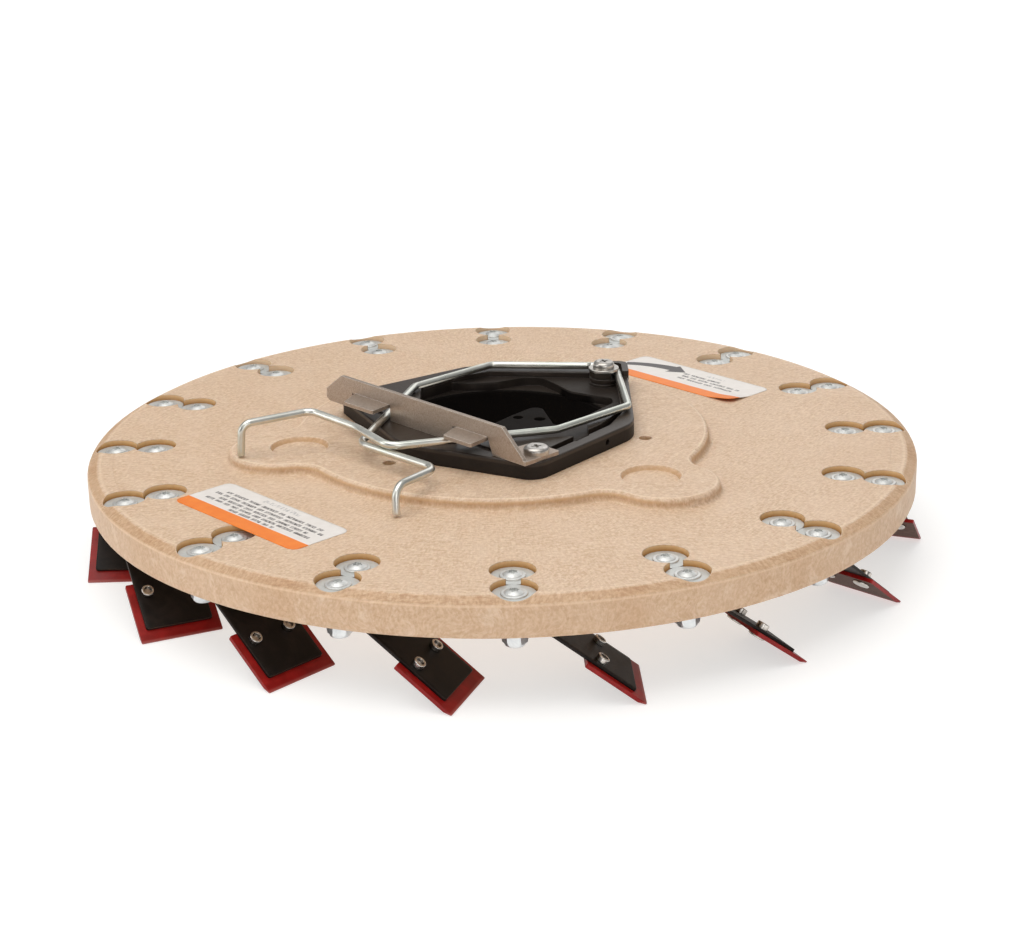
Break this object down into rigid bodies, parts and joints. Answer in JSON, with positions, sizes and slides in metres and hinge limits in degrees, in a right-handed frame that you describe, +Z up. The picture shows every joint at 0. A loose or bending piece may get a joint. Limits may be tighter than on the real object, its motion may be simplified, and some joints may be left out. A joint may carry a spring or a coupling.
{
  "type": "floor machine rotary scraper disc",
  "caption": "Round mounting block with a squeeze-latch clutch plate on top and a ring of spring-steel arms underneath, each carrying a slanted scraper blade.",
  "frame": {"origin": "on the spin axis, level with the flat upper face of the mounting block", "axes": "+Z up along the spin axis, away from the blades; the handles of the squeeze latch point to -X -Y"},
  "size_m": [0.4648, 0.4648, 0.0887],
  "materials": {
    "block": "moulded structural plastic, fine fibre-flow mottling, satin",
    "clutch": "black glass-filled nylon, satin",
    "bar_steel": "sheared and folded strip, zinc flash, brushed along its length",
    "stainless": "polished pan heads and washer",
    "zinc": "bright zinc plate",
    "wire": "bright zinc-plated spring wire",
    "spring_steel": "black-oxide spring steel",
    "blade_red": "deep red paint, worn at the cutting edge",
    "label": "printed vinyl, off-white with an orange band"
  },
  "bodies": {
    "disc": {"mounting_block": "block", "clutch_plate": "clutch", "clutch_sleeve": "clutch", "clutch_plate_nuts": "zinc", "latch_bar": "bar_steel", "latch_bar_screws": "stainless", "latch_anchor_screw": "stainless", "latch_anchor_washer": "stainless", "station_screws": "zinc", "station_washers": "zinc", "station_lock_nuts": "zinc", "spring_arms": "spring_steel", "label_front": "label", "label_back": "label"},
    "latch_front_leg": {"latch_wire_front": "wire", "latch_wire_bend": "wire"},
    "latch_back_leg": {"latch_wire_back": "wire"},
    "blade_01": {"scraper_blade_01": "blade_red", "blade_fasteners_01": "zinc"},
    "blade_02": {"scraper_blade_02": "blade_red", "blade_fasteners_02": "zinc"},
    "blade_03": {"scraper_blade_03": "blade_red", "blade_fasteners_03": "zinc"},
    "blade_04": {"scraper_blade_04": "blade_red", "blade_fasteners_04": "zinc"},
    "blade_05": {"scraper_blade_05": "blade_red", "blade_fasteners_05": "zinc"},
    "blade_06": {"scraper_blade_06": "blade_red", "blade_fasteners_06": "zinc"},
    "blade_07": {"scraper_blade_07": "blade_red", "blade_fasteners_07": "zinc"},
    "blade_08": {"scraper_blade_08": "blade_red", "blade_fasteners_08": "zinc"},
    "blade_09": {"scraper_blade_09": "blade_red", "blade_fasteners_09": "zinc"},
    "blade_10": {"scraper_blade_10": "blade_red", "blade_fasteners_10": "zinc"},
    "blade_11": {"scraper_blade_11": "blade_red", "blade_fasteners_11": "zinc"},
    "blade_12": {"scraper_blade_12": "blade_red", "blade_fasteners_12": "zinc"},
    "blade_13": {"scraper_blade_13": "blade_red", "blade_fasteners_13": "zinc"},
    "blade_14": {"scraper_blade_14": "blade_red", "blade_fasteners_14": "zinc"},
    "blade_15": {"scraper_blade_15": "blade_red", "blade_fasteners_15": "zinc"},
    "blade_16": {"scraper_blade_16": "blade_red", "blade_fasteners_16": "zinc"}
  },
  "joints": [
    {"name": "latch_front_swing", "type": "hinge", "parent": "disc", "child": "latch_front_leg", "pos_m": [0.0602, 0.0561, 0.0183], "axis": [0, 0, 1], "range_deg": [0, 4], "stiffness_Nm_per_rad": 1.2},
    {"name": "latch_back_swing", "type": "hinge", "parent": "latch_front_leg", "child": "latch_back_leg", "pos_m": [0.0602, 0.0561, 0.0183], "axis": [0, 0, 1], "range_deg": [-8, 0], "stiffness_Nm_per_rad": 0.3, "deforming": ["latch_wire_bend"]},
    {"name": "blade_01_flex", "type": "hinge", "parent": "disc", "child": "blade_01", "pos_m": [0.01769, -0.20468, -0.0208], "axis": [0.0202, -0.9998, 0], "range_deg": [0, 10], "stiffness_Nm_per_rad": 8, "deforming": ["spring_arms"]},
    {"name": "blade_02_flex", "type": "hinge", "parent": "disc", "child": "blade_02", "pos_m": [0.09467, -0.18233, -0.0208], "axis": [0.4013, -0.9159, 0], "range_deg": [0, 10], "stiffness_Nm_per_rad": 8, "deforming": ["spring_arms"]},
    {"name": "blade_03_flex", "type": "hinge", "parent": "disc", "child": "blade_03", "pos_m": [0.15724, -0.13222, -0.0208], "axis": [0.7213, -0.6926, 0], "range_deg": [0, 10], "stiffness_Nm_per_rad": 8, "deforming": ["spring_arms"]},
    {"name": "blade_04_flex", "type": "hinge", "parent": "disc", "child": "blade_04", "pos_m": [0.19587, -0.06199, -0.0208], "axis": [0.9314, -0.3639, 0], "range_deg": [0, 10], "stiffness_Nm_per_rad": 8, "deforming": ["spring_arms"]},
    {"name": "blade_05_flex", "type": "hinge", "parent": "disc", "child": "blade_05", "pos_m": [0.20468, 0.01769, -0.0208], "axis": [0.9998, 0.0202, 0], "range_deg": [0, 10], "stiffness_Nm_per_rad": 8, "deforming": ["spring_arms"]},
    {"name": "blade_06_flex", "type": "hinge", "parent": "disc", "child": "blade_06", "pos_m": [0.18233, 0.09467, -0.0208], "axis": [0.9159, 0.4013, 0], "range_deg": [0, 10], "stiffness_Nm_per_rad": 8, "deforming": ["spring_arms"]},
    {"name": "blade_07_flex", "type": "hinge", "parent": "disc", "child": "blade_07", "pos_m": [0.13222, 0.15724, -0.0208], "axis": [0.6926, 0.7213, 0], "range_deg": [0, 10], "stiffness_Nm_per_rad": 8, "deforming": ["spring_arms"]},
    {"name": "blade_08_flex", "type": "hinge", "parent": "disc", "child": "blade_08", "pos_m": [0.06199, 0.19587, -0.0208], "axis": [0.3639, 0.9314, 0], "range_deg": [0, 10], "stiffness_Nm_per_rad": 8, "deforming": ["spring_arms"]},
    {"name": "blade_09_flex", "type": "hinge", "parent": "disc", "child": "blade_09", "pos_m": [-0.01769, 0.20468, -0.0208], "axis": [-0.0202, 0.9998, 0], "range_deg": [0, 10], "stiffness_Nm_per_rad": 8, "deforming": ["spring_arms"]},
    {"name": "blade_10_flex", "type": "hinge", "parent": "disc", "child": "blade_10", "pos_m": [-0.09467, 0.18233, -0.0208], "axis": [-0.4013, 0.9159, 0], "range_deg": [0, 10], "stiffness_Nm_per_rad": 8, "deforming": ["spring_arms"]},
    {"name": "blade_11_flex", "type": "hinge", "parent": "disc", "child": "blade_11", "pos_m": [-0.15724, 0.13222, -0.0208], "axis": [-0.7213, 0.6926, 0], "range_deg": [0, 10], "stiffness_Nm_per_rad": 8, "deforming": ["spring_arms"]},
    {"name": "blade_12_flex", "type": "hinge", "parent": "disc", "child": "blade_12", "pos_m": [-0.19587, 0.06199, -0.0208], "axis": [-0.9314, 0.3639, 0], "range_deg": [0, 10], "stiffness_Nm_per_rad": 8, "deforming": ["spring_arms"]},
    {"name": "blade_13_flex", "type": "hinge", "parent": "disc", "child": "blade_13", "pos_m": [-0.20468, -0.01769, -0.0208], "axis": [-0.9998, -0.0202, 0], "range_deg": [0, 10], "stiffness_Nm_per_rad": 8, "deforming": ["spring_arms"]},
    {"name": "blade_14_flex", "type": "hinge", "parent": "disc", "child": "blade_14", "pos_m": [-0.18233, -0.09467, -0.0208], "axis": [-0.9159, -0.4013, 0], "range_deg": [0, 10], "stiffness_Nm_per_rad": 8, "deforming": ["spring_arms"]},
    {"name": "blade_15_flex", "type": "hinge", "parent": "disc", "child": "blade_15", "pos_m": [-0.13222, -0.15724, -0.0208], "axis": [-0.6926, -0.7213, 0], "range_deg": [0, 10], "stiffness_Nm_per_rad": 8, "deforming": ["spring_arms"]},
    {"name": "blade_16_flex", "type": "hinge", "parent": "disc", "child": "blade_16", "pos_m": [-0.06199, -0.19587, -0.0208], "axis": [-0.3639, -0.9314, 0], "range_deg": [0, 10], "stiffness_Nm_per_rad": 8, "deforming": ["spring_arms"]}
  ],
  "couplings": [
    {"joint": "latch_back_swing", "follows": "latch_front_swing", "ratio": -2}
  ]
}
